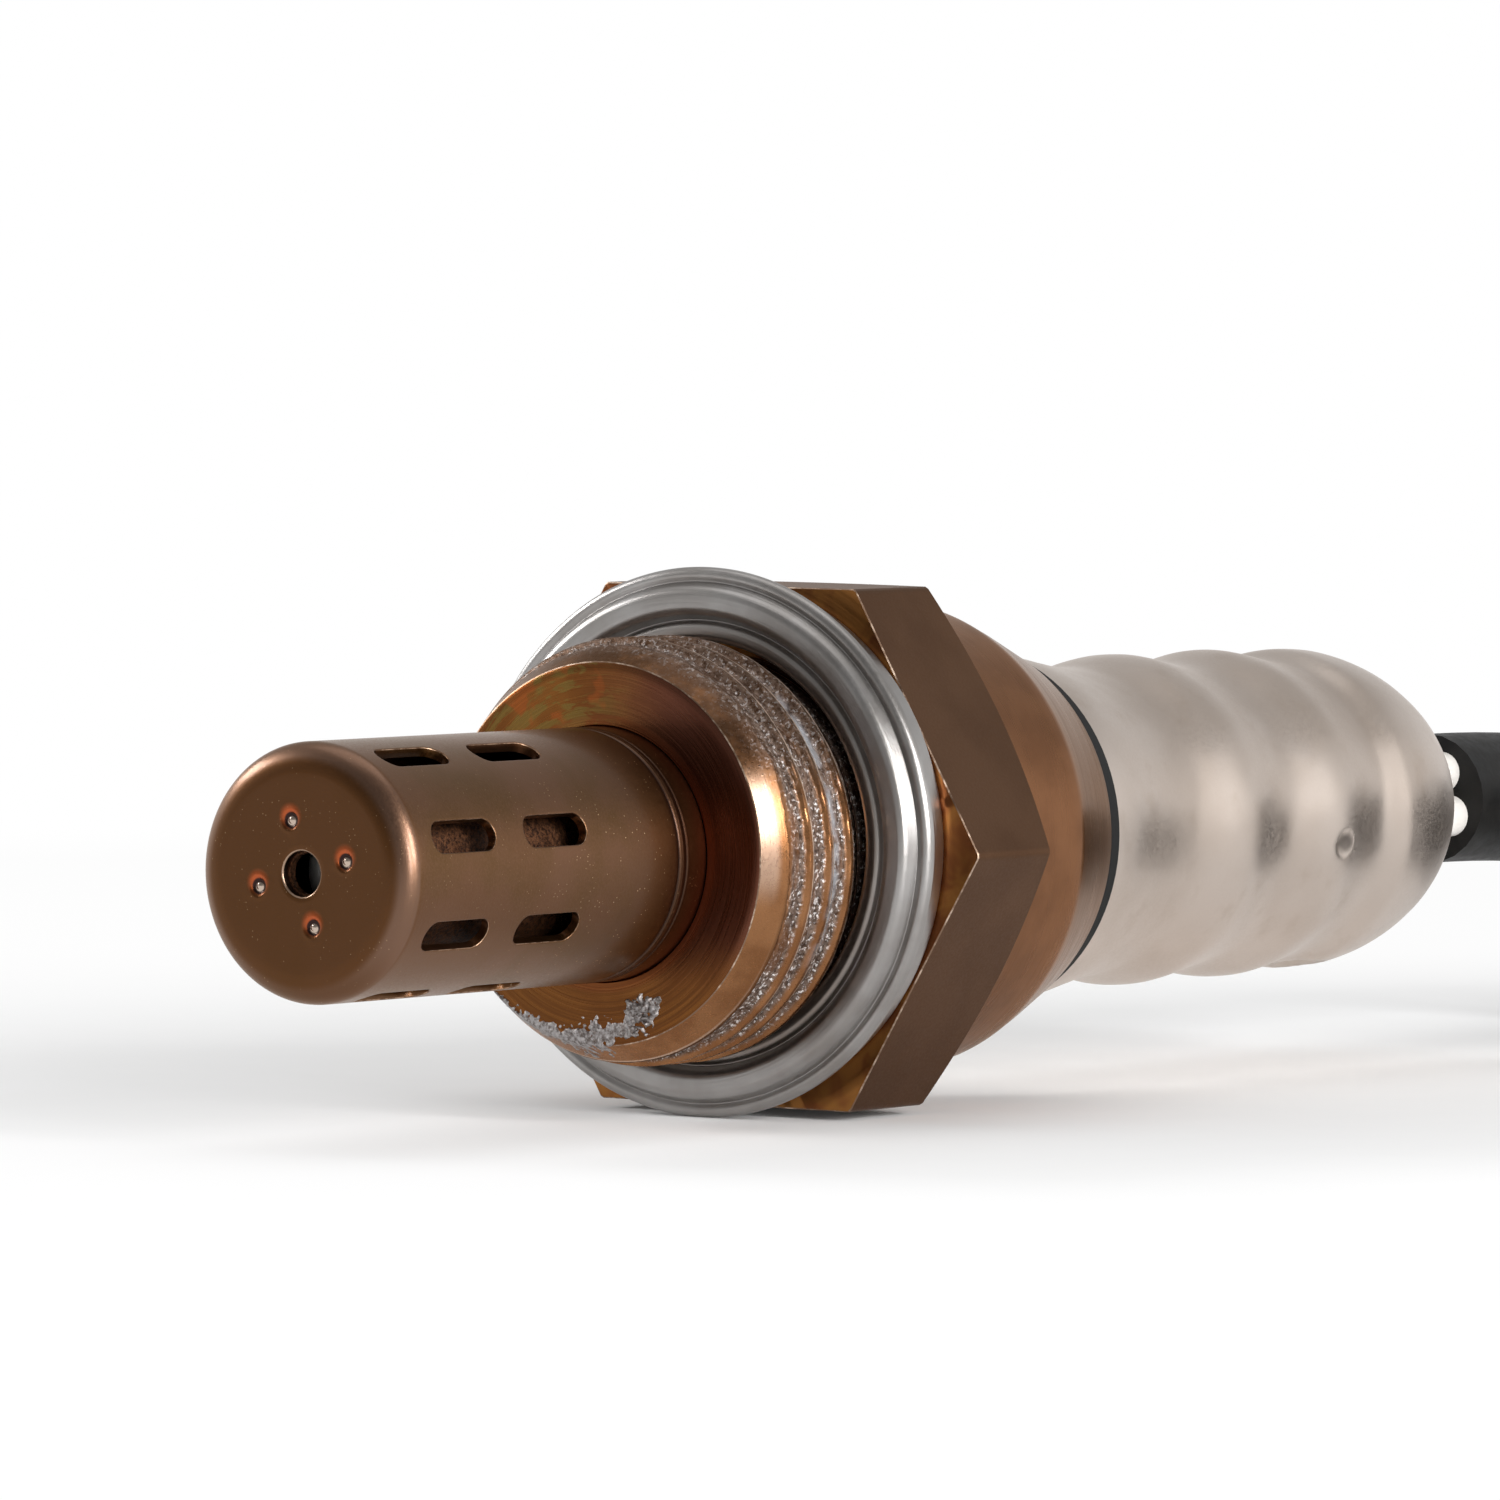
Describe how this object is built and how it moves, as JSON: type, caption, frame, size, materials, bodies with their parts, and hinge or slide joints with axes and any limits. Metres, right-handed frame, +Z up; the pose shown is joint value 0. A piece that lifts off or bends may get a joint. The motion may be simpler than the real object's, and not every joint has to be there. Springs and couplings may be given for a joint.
{
  "type": "oxygen sensor",
  "caption": "Heated exhaust oxygen sensor: slotted protection tube, threaded hexagon housing with crush gasket, crimped rear sleeve, and a tied lead ending in a sealed connector.",
  "frame": {"origin": "on the sensor's axis, in the gasket seat (the hexagon's front face)", "axes": "+X along the sensor from its tip towards its lead, +Z up, a corner of the hexagon towards -Y"},
  "size_m": [0.238, 0.0445, 0.0232],
  "materials": {
    "tube_steel": "heat-browned stainless steel, satin",
    "housing_steel": "heat-tinted turned steel",
    "gasket_steel": "rolled steel, smooth",
    "black_seal": "black, matt",
    "sleeve_steel": "stainless steel, satin",
    "zirconia": "sintered, matt",
    "alumina": "sintered, matt",
    "talc": "pressed powder",
    "contact_alloy": "spring alloy, satin",
    "black_rubber": "moulded, matt",
    "black_sleeving": "extruded sleeving, satin",
    "tie_nylon": "moulded nylon",
    "connector_plastic": "moulded, fine texture",
    "lock_plastic": "moulded, smooth",
    "tinned_brass": "tinned, satin",
    "white_wire": "wire insulation",
    "grey_wire": "wire insulation",
    "black_wire": "wire insulation"
  },
  "bodies": {
    "root": {"outer_protection_tube": "tube_steel", "inner_protection_tube": "tube_steel", "sensor_housing": "housing_steel", "crush_gasket": "gasket_steel", "lip_seal_ring": "black_seal", "rear_sleeve": "sleeve_steel", "zirconia_element": "zirconia", "heater_rod": "alumina", "inner_contact_clip": "contact_alloy", "seat_washer": "contact_alloy", "talc_ring": "talc", "ceramic_packing_sleeve": "alumina", "crimp_ring": "contact_alloy", "terminal_insulator": "alumina", "retaining_spring": "contact_alloy", "rear_grommet": "black_rubber", "lead_sleeving": "black_sleeving", "lead_hank": "black_sleeving", "hank_tie": "tie_nylon", "connector_boot": "black_rubber", "connector_housing": "connector_plastic", "connector_lock": "lock_plastic", "connector_pins": "tinned_brass", "heater_1_terminal": "tinned_brass", "heater_2_terminal": "tinned_brass", "ground_terminal": "tinned_brass", "signal_terminal": "tinned_brass", "heater_1_wire": "white_wire", "heater_2_wire": "white_wire", "ground_wire": "grey_wire", "signal_wire": "black_wire"}
  },
  "joints": []
}
